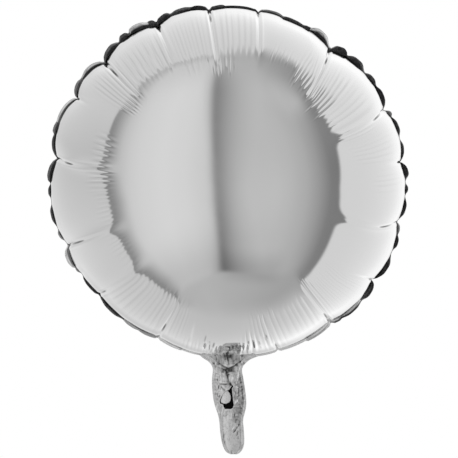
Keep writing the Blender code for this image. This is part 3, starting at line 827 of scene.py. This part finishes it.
# The welded rim outside the seam: a ribbon that buckles into scallops. Each one lies flat at
# its crest and turns edge-on, to the front or to the back, where it meets the next.
rim = {
    "tuck": 0.8 * mm,                # how far the ribbon reaches in between the films
    "thickness": 0.3 * mm,
    "edgeOn": 76.0,                  # how far it turns between two scallops, in degrees
    "fullness": 2.6,
    "curl": 0.16,                    # bow across the ribbon, against its width
    "step": 0.35,
    "start": 188.6,
    "end": 531.2,
    # start and end angle, radius at the crest (mm), painted reflection at the root and at the edge
    # as lightness from 0 to 1, and how far it stays open at its ends (0 to 1)
    "scallops": [
        (188.6, 195.8, 174.4, 1.0, 1.0, 0.7), (195.8, 204.6, 173.2, 0.8, 0.85, 0.6),
        (204.6, 211.0, 173.0, 0.45, 0.55, 0.5), (211.0, 217.6, 173.8, 0.4, 0.5, 0.4),
        (217.6, 228.3, 174.6, 0.0, 0.1, 0.2), (228.6, 237.2, 174.2, 0.0, 0.0, 0.3),
        (238.4, 241.4, 175.4, 0.2, 0.4, 0), (241.4, 248.8, 179.2, 0.2, 0.85, 0.3),
        (250.4, 254.6, 177.6, 0.1, 0.5, 0), (256.0, 263.5, 180.6, 0.0, 0.1, 0),
        (265.0, 269.6, 180.6, 0.0, 0.1, 0), (270.2, 278.4, 180.6, 0.0, 0.15, 0.25),
        (278.4, 285.9, 180.8, 0.0, 0.1, 0.3), (285.9, 289.4, 183.8, 0.05, 0.25, 0.6),
        (289.4, 299.2, 182.4, 0.1, 0.9, 0.6), (299.2, 305.6, 181.6, 0.1, 0.25, 0.4),
        (305.6, 314.2, 182.2, 0.0, 0.7, 0.4), (314.2, 321.9, 181.2, 0.0, 0.15, 0.3),
        (321.9, 326.5, 183.0, 0.0, 0.1, 0.1), (326.5, 333.4, 183.8, 0.0, 0.75, 0.5),
        (333.4, 335.7, 180.2, 0.0, 0.05, 0.8), (335.7, 340.8, 180.6, 0.0, 0.05, 0.5),
        (340.8, 347.8, 181.2, 0.0, 0.1, 0.4), (347.8, 353.6, 179.8, 0.0, 0.0, 0.4),
        (353.6, 358.6, 178.0, 0.0, 0.05, 0.6), (358.6, 369.8, 177.5, 0.0, 0.0, 0.7),
        (369.8, 378.5, 177.8, 0.0, 0.25, 0.5), (378.5, 385.6, 176.2, 0.0, 0.05, 0.6),
        (385.6, 388.0, 175.8, 0.0, 0.0, 0.5), (388.0, 396.6, 178.2, 0.0, 0.7, 0.2),
        (396.6, 402.6, 176.6, 0.0, 0.0, 0.3), (402.6, 410.8, 179.4, 0.0, 0.05, 0.1),
        (410.8, 416.6, 179.2, 0.0, 0.05, 0.1), (416.6, 424.7, 178.4, 0.0, 0.0, 0.1),
        (425.2, 427.6, 177.4, 0.1, 0.2, 0.3), (427.6, 435.2, 179.6, 0.0, 0.05, 0),
        (435.4, 442.8, 178.8, 0.0, 0.05, 0), (443.0, 449.2, 180.2, 0.0, 0.0, 0),
        (450.0, 453.6, 179.8, 0.0, 0.05, 0), (454.8, 462.4, 179.2, 0.0, 0.0, 0),
        (462.8, 466.6, 177.2, 0.1, 0.3, 0.3), (466.8, 472.4, 180.0, 0.0, 0.0, 0),
        (474.0, 483.2, 180.8, 0.0, 0.0, 0.1), (484.0, 491.4, 180.2, 0.05, 0.0, 0.2),
        (491.4, 500.2, 179.4, 0.7, 0.0, 0.3), (500.2, 503.6, 176.6, 0.7, 0.1, 0.5),
        (503.6, 513.6, 176.8, 1.0, 0.6, 0.6), (513.6, 523.0, 176.2, 1.0, 1.0, 0.8),
        (523.0, 531.2, 176.0, 1.0, 1.0, 0.8),
    ],
    "betweenWidth": 0.5 * mm,
    "crimp": 700,                    # crimp marks for each metre
    "crimpHeight": 0.12 * mm,
    "mottle": 0.22,
    "sharp": 0.5,                    # how far the bow pulls the ribbon in where it turns edge-on
    "steps": 5,                      # strips across the ribbon
    "weldTolerance": 1e-6,
    "edgeFrom": (0.45, 0.75),        # across the ribbon, from the root's painted reflection to the edge's
    "roughness": 0.22,
    # colours of the painted reflection, darkest and lightest
    "dark": (0.035, 0.035, 0.036, 1),
    "light": (0.95, 0.95, 0.95, 1),
}


# Radius of the seam at these angles, as the front film's edge has it
def seamLine(angles):
    edge = filmRing(lobeColumns(), 0.0, -1, *depthTable(), 11)
    around = np.degrees(np.arctan2(edge[:, 0], edge[:, 2])) % 360
    order = np.argsort(around)
    radius = np.hypot(edge[:, 0], edge[:, 2])
    return np.interp(angles, around[order], radius[order], period=360)


# Edges along the seam, with the ribbon's reach, bow and painted reflection at each point
def rimPath():
    angles = np.arange(rim["start"], rim["end"], rim["step"])
    turn = np.radians(angles)
    outward = np.stack([np.sin(turn), np.zeros_like(turn), np.cos(turn)], axis=1)
    forward = np.array([0.0, -1.0, 0.0])
    wide = np.full(len(angles), rim["betweenWidth"])
    lean = np.zeros(len(angles))
    light = np.zeros((len(angles), 2))
    for index, (start, end, crest, rootPaintedLight, edgePaintedLight, hold) in enumerate(rim["scallops"]):
        inside = (angles >= start) & (angles < end)
        swing = np.cos(np.pi * (angles[inside] - start) / (end - start))
        swing = np.sign(swing) * np.abs(swing) ** rim["fullness"] * (1 if index % 2 else -1)
        wide[inside] = crest * mm - seamLine(np.array([(start + end) / 2]))[0]
        lean[inside] = np.radians(rim["edgeOn"]) * (1 - hold) * swing
        light[inside] = (rootPaintedLight, edgePaintedLight)
    reach = outward * (rim["tuck"] + wide * np.cos(lean))[:, None]
    reach += forward * (wide * np.sin(lean))[:, None]
    bowed = rim["curl"] * (rim["tuck"] + wide)
    bow = forward * (bowed * np.cos(lean))[:, None]
    bow -= outward * (bowed * np.sin(lean) * rim["sharp"])[:, None]
    points = outward * (seamLine(angles) - rim["tuck"])[:, None]
    mesh = bpy.data.meshes.new("rim_path")
    edges = [(i, i + 1) for i in range(len(points) - 1)]
    mesh.from_pydata([tuple(point) for point in points], edges, [])
    for name, values in (("reach", reach), ("bow", bow), ("rootPaintedLight", light[:, 0]),
                         ("edgePaintedLight", light[:, 1])):
        storeValues(mesh, name, values)
    return mesh


# Geometry Nodes: sweeps each edge of the path out along its reach, then thickens it.
def ribbonTree(material):
    tree = bpy.data.node_groups.new("ribbonOnPath", "GeometryNodeTree")
    face = tree.interface
    face.new_socket("Geometry", in_out="INPUT", socket_type="NodeSocketGeometry")
    for name in ("Width", "Bow", "Thickness"):
        face.new_socket(name, in_out="INPUT", socket_type="NodeSocketFloat")
    face.new_socket("Geometry", in_out="OUTPUT", socket_type="NodeSocketGeometry")
    start = addNode(tree, "NodeGroupInput").outputs

    def scaled(vector, factor):
        return addNode(tree, "ShaderNodeVectorMath", {0: vector, "Scale": factor},
                       operation="SCALE").outputs[0]

    def scaledAttribute(name, factor):
        node = addNode(tree, "GeometryNodeInputNamedAttribute", {"Name": name},
                       data_type="FLOAT_VECTOR")
        return scaled(node.outputs["Attribute"], factor)

    def tagged(geometry, selection, across):
        return addNode(tree, "GeometryNodeStoreNamedAttribute",
                       {"Geometry": geometry, "Selection": selection, "Name": "across",
                        "Value": across}, data_type="FLOAT", domain="POINT").outputs["Geometry"]

    reach = scaledAttribute("reach", start["Width"])
    bow = scaledAttribute("bow", start["Bow"])
    top = True
    shape = tagged(start["Geometry"], top, 0.0)
    for index in range(rim["steps"]):
        before, after = index / rim["steps"], (index + 1) / rim["steps"]
        bend = 4 * after * (1 - after) - 4 * before * (1 - before)
        offset = addNode(tree, "ShaderNodeVectorMath",
                         {0: scaled(reach, after - before), 1: scaled(bow, bend)},
                         operation="ADD").outputs[0]
        extruded = addNode(tree, "GeometryNodeExtrudeMesh",
                           {"Mesh": shape, "Selection": top, "Offset": offset,
                            "Offset Scale": 1.0}, mode="EDGES").outputs
        top = extruded["Top"]
        shape = tagged(extruded["Mesh"], top, after)
    front = addNode(tree, "GeometryNodeExtrudeMesh",
                    {"Mesh": shape, "Offset Scale": start["Thickness"], "Individual": False},
                    mode="FACES")
    back = addNode(tree, "GeometryNodeFlipFaces", {"Mesh": shape})
    joined = addNode(tree, "GeometryNodeJoinGeometry")
    for half in (front, back):
        feed(tree, joined, {0: half.outputs["Mesh"]})
    shape = joined.outputs[0]
    for kind, inputs in (("MergeByDistance", {"Distance": rim["weldTolerance"]}),
                         ("SetShadeSmooth", {}), ("RealizeInstances", {}),
                         ("SetMaterial", {"Material": material})):
        shape = addNode(tree, "GeometryNode" + kind, {0: shape, **inputs}).outputs[0]
    addNode(tree, "NodeGroupOutput", {0: shape})
    return tree


# Base colour is painted reflection: each scallop's lightness stands in for what it mirrors, with
# random spots of tone.
def rimFilm():
    material, tree, shader = newMaterial("rim_film",
                                         {"Metallic": 1, "Roughness": rim["roughness"]})
    light = blendTone(tree, stepOver(tree, stored(tree, "across"), *rim["edgeFrom"]),
                      stored(tree, "rootPaintedLight"), stored(tree, "edgePaintedLight"))
    light = calc(tree, "ADD", light, spots(tree, rim["crimp"], rim["mottle"]), clamp=True)
    addBump(tree, shader, noise(tree, rim["crimp"], 3.0), rim["crimpHeight"])
    colour = addNode(tree, "ShaderNodeMix", {0: light}, data_type="RGBA")
    feed(tree, colour, {6: rim["dark"], 7: rim["light"]})
    feed(tree, shader, {"Base Color": colour.outputs[2]})
    return material


def buildRim():
    material = rimFilm()
    path = addObject("rim_path", rimPath())
    tree = ribbonTree(material)
    modifier = path.modifiers.new("ribbon", "NODES")
    modifier.node_group = tree
    values = {"Width": 1.0, "Bow": 1.0, "Thickness": rim["thickness"]}
    for item in tree.interface.items_tree:
        if item.in_out == "INPUT" and item.name in values:
            modifier[item.identifier] = values[item.name]
    ribbon = madePlain(path, "rim_ribbon", material)
    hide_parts("rim_flange")
    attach(ribbon, "envelope")
    print("rim ribbon done:", len(ribbon.data.polygons), "faces")


buildRim()

# The neck: two crumpled films welded along their borders. The top runs in between the films
# of the body, behind the pouch. The front film has the inflation hole.
neck = {
    "columns": 84,
    "rows": 236,
    "film": 0.2 * mm,
    "seat": 0.32 * mm,               # outside of each film at a weld, from the seam's plane
    "border": 3.2,                   # width of the welds (mm)
    # height, left edge, right edge (mm)
    "outline": [
        (-170.8, -33.0, 35.5), (-172.4, -28.5, 32.5), (-174.5, -26.3, 26.0),
        (-176.3, -23.5, 22.0), (-178.2, -20.4, 19.2), (-180.5, -18.0, 16.8),
        (-183.0, -16.5, 14.6), (-186.0, -15.6, 13.5), (-189.0, -15.7, 13.6),
        (-193.0, -16.3, 14.4), (-199.0, -16.6, 15.4), (-205.0, -16.4, 16.4),
        (-211.0, -15.8, 17.2), (-216.0, -15.2, 17.7), (-221.0, -14.1, 17.8),
        (-225.5, -12.7, 17.3), (-230.0, -11.0, 16.2), (-234.5, -9.8, 14.9),
        (-239.0, -9.1, 14.5), (-244.0, -8.7, 15.1), (-250.0, -8.2, 15.5),
        (-255.0, -7.5, 15.8), (-260.0, -6.5, 15.7), (-263.5, -5.4, 15.1),
        (-266.5, -4.1, 13.9), (-268.8, -2.4, 12.2), (-270.2, -0.4, 10.6), (-271.2, 2.4, 8.6),
    ],
    "bulge": [(-178, 0), (-187, 0.8), (-196, 2.6), (-212, 3.4), (-224, 2.6), (-233, 1.5),
              (-245, 0.9), (-264, 0.5), (-271, 0.1)],
    "hole": [(4.0, -202.3), (4.8, -203.2), (3.5, -205.3), (3.8, -209.0), (4.4, -215.0),
             (4.9, -219.0), (5.2, -222.0), (4.4, -224.6), (2.6, -225.8), (-3.4, -225.8),
             (-4.8, -224.0), (-5.4, -221.4), (-8.3, -220.6), (-8.9, -218.2), (-8.0, -215.6),
             (-6.4, -212.4), (-3.6, -208.6), (0.0, -207.0), (1.5, -205.4), (2.7, -203.4)],
    # creases seen in front: across, up, turn, half length, width, height (mm), painted shade (below 0
    # a painted highlight)
    "creases": [
        (-0.6, -187.6, 0, 6.0, 2.0, -0.2, 0.6), (-1.0, -190.0, 92, 4.2, 1.9, -0.4, 0.7),
        (-14.8, -180.5, 0, 1.4, 1.3, -0.3, 0.5), (-10.5, -181.4, 0, 1.6, 1.4, -0.3, 0.6),
        (-6.2, -185.4, -35, 3.0, 1.3, -0.2, 0.45), (-5.7, -189.0, 0, 1.6, 1.2, -0.2, 0.45),
        (3.6, -186.0, 35, 2.6, 1.3, -0.2, 0.4), (8.5, -182.4, 40, 1.5, 1.2, -0.3, 0.6),
        (11.8, -178.8, 0, 1.3, 1.3, -0.3, 0.7), (15.5, -180.2, 0, 1.2, 1.2, -0.3, 0.6),
        (13.8, -179.2, 0, 1.0, 1.0, 0.2, -0.8), (4.2, -188.6, 0, 2.2, 1.4, -0.2, 0.3),
        (12.5, -212.0, 88, 18.0, 4.5, 0.0, 0.36), (9.5, -231.0, 70, 7.0, 4.0, 0.0, 0.32),
        (10.5, -197.0, 80, 6.0, 3.6, 0.0, 0.3), (-5.0, -197.0, 80, 3.4, 2.0, 0.3, -1.0),
        (7.5, -191.0, 55, 4.0, 2.6, 0.0, 0.3),
        (-0.9, -193.5, 104, 4.6, 1.3, -0.5, 0.5),
        (0.6, -200.4, 125, 3.4, 1.9, -0.3, 0.55), (-5.2, -198.9, 0, 3.4, 1.2, 0.2, -1.0),
        (2.6, -201.4, 128, 2.2, 1.0, -0.7, 0.6), (-7.2, -195.5, 100, 4.0, 0.9, 1.0, -1.0),
        (-5.2, -199.0, -12, 3.4, 0.9, 1.0, -1.0), (-5.0, -200.9, 3, 3.2, 0.9, -0.8, 0.9),
        (-4.0, -204.2, -42, 3.8, 0.7, 0.6, -0.9), (-5.6, -205.6, -42, 3.4, 0.6, -0.5, 0.3),
        (5.6, -194.0, 60, 4.6, 3.0, 0.8, -0.5), (10.2, -189.0, 72, 6.0, 1.2, 0.8, -0.7),
        (-11.0, -197.0, 90, 1.5, 1.0, -0.6, 0.5), (-10.0, -204.0, 80, 2.4, 0.8, -0.6, 0.4),
        (-11.0, -212.0, 90, 1.8, 0.9, -0.5, 0.3), (-9.0, -213.2, 70, 1.4, 0.8, -0.5, 0.4),
        (13.4, -214.0, 86, 10.0, 1.6, -0.25, 0.2), (6.6, -212.0, 90, 4.6, 0.9, -0.3, 0.25),
        (9.8, -209.0, 90, 2.6, 0.8, -0.25, 0.2), (7.6, -218.8, 60, 2.6, 0.7, 0.6, -0.9),
        (5.9, -232.6, 75, 2.6, 1.1, -0.4, 0.35), (7.6, -238.0, 80, 2.0, 1.0, -0.5, 0.45),
        (10.6, -240.0, 60, 2.6, 1.1, -0.4, 0.4), (8.8, -244.4, 55, 5.0, 1.1, -0.5, 0.4),
        (6.2, -248.2, 55, 1.8, 0.9, -0.6, 0.55), (9.0, -250.6, 80, 2.2, 0.8, -0.6, 0.45),
        (9.8, -254.6, 85, 1.6, 0.8, -0.4, 0.3), (5.2, -245.2, 55, 2.0, 0.7, 0.5, -0.8),
        (-5.0, -254.4, 85, 4.4, 0.8, -0.4, 0.3), (-4.0, -260.0, 85, 2.0, 0.8, -0.4, 0.25),
        (3.2, -269.0, 100, 1.8, 0.9, -0.4, 0.4), (13.4, -264.0, 65, 3.0, 0.8, -0.4, 0.35),
        (-6.0, -228.0, 80, 4.0, 1.0, 0.5, -0.6), (-11.5, -224.0, 75, 3.5, 1.0, 0.4, -0.6),
    ],
    # random creases: seed, how many, from height, to height, half length, height (mm), turn
    "crumple": [
        (5, 150, -176, -236, (1.2, 5.0), 0.42, (0, 180)),
        (6, 60, -174, -200, (0.8, 2.6), 0.50, (0, 180)),
        (7, 46, -200, -234, (2.0, 7.0), 0.34, (65, 115)),
        (8, 40, -228, -272, (3.0, 9.0), 0.10, (76, 104)),
        (9, 26, -228, -250, (0.8, 2.6), 0.22, (30, 150)),
    ],
    "fold": (-187.0, -196.0),        # heights between which the real film turns with its hinge
    "mottle": [(260, 0.6), (620, 0.7)],          # spots for each metre, and their contrast
    "grain": 900,
    "grainHeight": 0.10 * mm,
    "fullness": 2.4,                 # how full it is between its borders
    "backBulge": 0.6,                # the back film's bulge against the front one's
    "pouchClear": 5.0,               # creases start over this far below the pouch (mm)
    "creaseAtEdge": 0.25,            # how much of a crease is left at the very edge
    "weldLine": (0.5, 0.18, 0.2),    # inside the weld: width, depth (mm), painted shade in its groove
    "lowest": -0.1,                  # the film never lies deeper than this (mm)
    "valley": (3, 0.16, 0.34),       # reach (points), depth (mm) and painted shade in valleys
    "pouchShadow": (0.35, 1.6),      # along the pouch: darkness, width (mm)
    "pouchShadowEnd": (17, 9),       # from none of it to all, across (mm)
    "backShift": 100,                # added to the seeds for the back film
    "roughness": 0.28,
    "tones": (1.0, 0.78, 0.06),      # painted highlight, plain and painted shade
}


def neckEdge(height, side):
    rows = neck["outline"][::-1]
    return np.interp(height, [row[0] for row in rows], [row[side] for row in rows])


# Random creases of a crumpled film, as rows for creaseLines
def crumpledRows(shift):
    rows = []
    for seed, count, top, bottom, lengths, tall, turns in neck["crumple"]:
        spread = np.random.default_rng(seed + shift)
        for _ in range(count):
            level = spread.uniform(bottom, top)
            middle = spread.uniform(neckEdge(level, 1), neckEdge(level, 2))
            half = spread.uniform(*lengths)
            height = tall * spread.uniform(0.3, 1.0) * spread.choice((-1, 1))
            rows.append((middle, level, spread.uniform(*turns), half, spread.uniform(0.6, 1.8),
                         height, 0.0))
    return rows


# Mean over a square of the grid, used to tell valleys from ridges
def blurred(values, reach):
    padded = np.pad(values, reach, mode="edge")
    total = np.zeros_like(values)
    rows, columns = values.shape
    for down in range(2 * reach + 1):
        for along in range(2 * reach + 1):
            total += padded[down:down + rows, along:along + columns]
    return total / (2 * reach + 1) ** 2


# Height of the pouch's lip at these places across, in millimetres
def pouchLip(across):
    rows = [dict(zip(filmBody["foldParts"], row)) for row in filmBody["folds"]]
    start = next(row for row in rows if row["rim"] == filmBody["pouchFold"])
    seam = filmBody["seamRadius"] / mm - start["dip"]
    beside = np.clip(np.degrees(np.arcsin(np.clip(across / seam, -1, 1)))
                     / (180 - start["rim"]), -1, 1)
    radius = seam + pouchDepth(np.abs(beside)) / mm
    return -np.sqrt(radius ** 2 - np.minimum(np.abs(across), radius) ** 2)


# Heights of one neck film over the seam's plane, with its painted shade, on the neck's grid
def neckSurface(side):
    border = neck["border"]
    level = np.linspace(neck["outline"][0][0], neck["outline"][-1][0], neck["rows"] + 1)
    left, right = neckEdge(level, 1)[:, None], neckEdge(level, 2)[:, None]
    share = np.linspace(0, 1, neck["columns"] + 1)
    across = left + (right - left) * share
    up = np.repeat(level[:, None], len(share), axis=1)
    toEdge = np.minimum(across - left, right - across)
    inner = np.clip((toEdge - border) / ((right - left) / 2 - border), 0, 1)
    bulge = np.interp(level, *zip(*neck["bulge"][::-1]))[:, None]
    height = bulge * (1 - (1 - inner) ** neck["fullness"]) * mm
    if side < 0:
        rows = crumpledRows(0) + neck["creases"]
    else:
        rows = crumpledRows(neck["backShift"])
        height = height * neck["backBulge"]
    lines, marks = creaseLines(across * mm, up * mm, rows)
    pouchLine = pouchLip(across)
    free = smoothStep(0.0, neck["pouchClear"], pouchLine - up)
    atEdge = mix(neck["creaseAtEdge"], 1.0, smoothStep(0.0, border, toEdge))
    lines *= free * atEdge
    lineWidth, lineDepth, weldShade = neck["weldLine"]
    weld = np.exp(-np.abs(toEdge - border) / lineWidth) * free
    lines -= lineDepth * mm * weld
    height = np.maximum(height + lines, neck["lowest"] * mm)
    reach, valleyDepth, valleyShade = neck["valley"]
    valley = np.clip((blurred(lines, reach) - lines) / (valleyDepth * mm), -1, 1)
    # painted shade in creases, valleys, the weld's groove and under the pouch; light creases are
    # painted highlights
    dark = marks + valleyShade * valley + weldShade * weld
    shadow, shadowWidth = neck["pouchShadow"]
    dark += (shadow * np.exp(-np.abs(pouchLine - up) / shadowWidth)
             * smoothStep(*neck["pouchShadowEnd"], np.abs(across)))
    return across * mm, up * mm, height + neck["seat"], np.clip(dark, -1, 1)


def insidePolygon(across, up, corners):
    inside = np.zeros(across.shape, bool)
    for (x0, z0), (x1, z1) in zip(corners, corners[1:] + corners[:1]):
        crosses = (z0 > up) != (z1 > up)
        where = x0 + (up - z0) * (x1 - x0) / ((z1 - z0) or 1e-12)
        inside ^= crosses & (across < where)
    return inside


# A point moved onto the nearest edge of the polygon
def ontoPolygon(point, corners):
    found = []
    for (x0, z0), (x1, z1) in zip(corners, corners[1:] + corners[:1]):
        dx, dz = x1 - x0, z1 - z0
        share = ((point[0] - x0) * dx + (point[1] - z0) * dz) / (dx * dx + dz * dz)
        share = min(1.0, max(0.0, share))
        found.append((x0 + share * dx, z0 + share * dz))
    return min(found, key=lambda spot: math.hypot(spot[0] - point[0], spot[1] - point[1]))


# Faces of a grid where at least three of their four corners are kept
def gridFaces(kept):
    rows, columns = kept.shape
    faces = []
    for row in range(rows - 1):
        for column in range(columns - 1):
            quad = ((row, column), (row, column + 1), (row + 1, column + 1), (row + 1, column))
            if sum(kept[corner] for corner in quad) > 2:
                faces.append(tuple(r * columns + c for r, c in quad))
    return faces


# Moves the points along the faces' border onto an outline, all or only those inside the grid.
def ontoOutline(across, up, faces, corners, onlyInside=False):
    rows, columns = across.shape
    edges = Counter((min(edge), max(edge)) for face in faces
                    for edge in zip(face, face[1:] + face[:1]))
    for corner in {corner for edge, times in edges.items() if times == 1 for corner in edge}:
        row, column = divmod(corner, columns)
        isInside = 0 < row < rows - 1 and 0 < column < columns - 1
        if isInside or not onlyInside:
            here = (across[row, column], up[row, column])
            across[row, column], up[row, column] = ontoPolygon(here, corners)


# A thin film from the points of a grid that its faces use
def thinFilm(name, grid, faces, thickness, material, dark=None):
    used = sorted({corner for face in faces for corner in face})
    renumber = {corner: place for place, corner in enumerate(used)}
    faces = [tuple(renumber[corner] for corner in face) for face in faces]
    points = np.stack(grid, axis=-1).reshape(-1, 3)[used]
    sheet = meshObject(name + "_sheet", points, faces, material)
    # dark is the painted shade, stored for the material
    if dark is not None:
        storeValues(sheet.data, "paintedLightAndShade", dark.ravel()[used])
    wall = sheet.modifiers.new("wall", "SOLIDIFY")
    wall.thickness = thickness
    wall.offset = -1
    return madePlain(sheet, name, material)


def buildNeckFilm(name, side, nodes, material):
    across, up, height, dark = neckSurface(side)
    faces = gridFaces(np.ones(across.shape, bool))
    if side < 0:
        corners = [(x * mm, z * mm) for x, z in neck["hole"]]
        faces = gridFaces(~insidePolygon(across, up, corners))
        ontoOutline(across, up, faces, corners, onlyInside=True)
        faces = [tuple(reversed(face)) for face in faces]
    film = thinFilm(name, (across, side * height, up), faces, neck["film"], material, dark)
    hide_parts(*nodes)
    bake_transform(film)
    print(name, len(film.data.polygons), "faces")


def neckFilm():
    material, tree, shader = newMaterial("neck_film",
                                         {"Metallic": 1, "Roughness": neck["roughness"]})
    shade = stored(tree, "paintedLightAndShade")
    for scale, share in neck["mottle"]:
        shade = calc(tree, "ADD", shade, spots(tree, scale, share))
    shadedColour(tree, shader, shade, neck["tones"])
    addBump(tree, shader, noise(tree, neck["grain"], 3.0), neck["grainHeight"])
    return material


# What shows through the hole: the light tongue of the valve, and the valve's inner film behind it,
# coloured near-black as painted shade inside the neck
valve = {
    "tongue": [(-6.2, -212.4), (-5.2, -209.4), (-2.4, -207.2), (-0.4, -208.0), (1.2, -210.0),
               (2.2, -212.6), (2.5, -215.2), (1.8, -217.8), (0.2, -219.6), (-2.2, -220.6),
               (-4.8, -220.6), (-6.6, -219.9), (-7.7, -218.8), (-7.6, -217.0), (-6.9, -214.6)],
    "tongueDepth": 1.8 * mm,
    "tongueDome": 0.7 * mm,
    "liner": [(-10.5, -200.5), (6.8, -200.5), (7.4, -215.0), (7.0, -227.6), (-6.0, -227.6),
              (-10.8, -222.0)],
    "linerDepth": -0.05 * mm,
    "film": 0.16 * mm,
    "spacing": 0.4 * mm,
    # random creases: how many, half length, width, height (mm)
    "crinkles": (24, (1, 3), (0.8, 2.0), (-0.12, 0.12)),
    "tongueTones": (0.80, 1.0),
    "tongueGrain": 700,
    "tongueBumps": 500,
    "tongueBumpHeight": 0.15 * mm,
    "tongueMetal": 0.5,
    "tongueRoughness": 0.35,
    # near-black: painted shade inside the neck
    "linerPaintedShade": (0.002, 0.010),
    "linerGrain": 400,
    "linerRoughness": 0.6,
    "linerSpecular": 0.05,
}


# A film with this outline, as a grid cut to shape, domed and crinkled where dome is over 0
def buildValveFilm(name, node, outline, depth, dome, seed, material):
    corners = [(x * mm, z * mm) for x, z in outline]
    low, high = np.min(corners, axis=0), np.max(corners, axis=0)
    step = valve["spacing"]
    across, up = np.meshgrid(np.arange(low[0], high[0] + step, step),
                             np.arange(low[1], high[1] + step, step))
    middle, size = (low + high) / 2, high - low
    off = np.hypot((across - middle[0]) / size[0], (up - middle[1]) / size[1])
    height = depth + dome * np.clip(1 - (2 * off) ** 2, 0, 1)
    if dome:
        count, lengths, widths, heights = valve["crinkles"]
        draw = np.random.default_rng(seed).uniform
        rows = [(draw(low[0], high[0]) / mm, draw(low[1], high[1]) / mm, draw(0, 180),
                 draw(*lengths), draw(*widths), draw(*heights), 0.0) for _ in range(count)]
        height += creaseLines(across, up, rows)[0]
    faces = gridFaces(insidePolygon(across, up, corners))
    ontoOutline(across, up, faces, corners)
    film = thinFilm(name, (across, -height, up), faces, valve["film"], material)
    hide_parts(node)
    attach(film, "neck")


def tongueFilm():
    material, tree, shader = newMaterial("valve_film", {"Metallic": valve["tongueMetal"],
                                                        "Roughness": valve["tongueRoughness"]})
    tone = blendTone(tree, noise(tree, valve["tongueGrain"], 3.0), *valve["tongueTones"])
    feed(tree, shader, {"Base Color": tone})
    addBump(tree, shader, noise(tree, valve["tongueBumps"]), valve["tongueBumpHeight"])
    return material


# The valve's inner film, near-black and barely shiny: painted shade inside the neck
def linerFilm():
    material, tree, shader = newMaterial("liner_film", {"Roughness": valve["linerRoughness"],
                                                        "Specular IOR Level": valve["linerSpecular"]})
    tone = blendTone(tree, noise(tree, valve["linerGrain"]), *valve["linerPaintedShade"])
    feed(tree, shader, {"Base Color": tone})
    return material


satin = neckFilm()
buildNeckFilm("neck_front", -1, ("neck_root", "neck_border", "neck_front_film"), satin)
buildNeckFilm("neck_back", 1, ("neck_back_film",), satin)
buildValveFilm("tongue_film", "valve_tongue", valve["tongue"],
               valve["tongueDepth"], valve["tongueDome"], 21, tongueFilm())
buildValveFilm("hole_shade_sheet", "valve_liner", valve["liner"],
               valve["linerDepth"], 0.0, 22, linerFilm())
print("neck done")
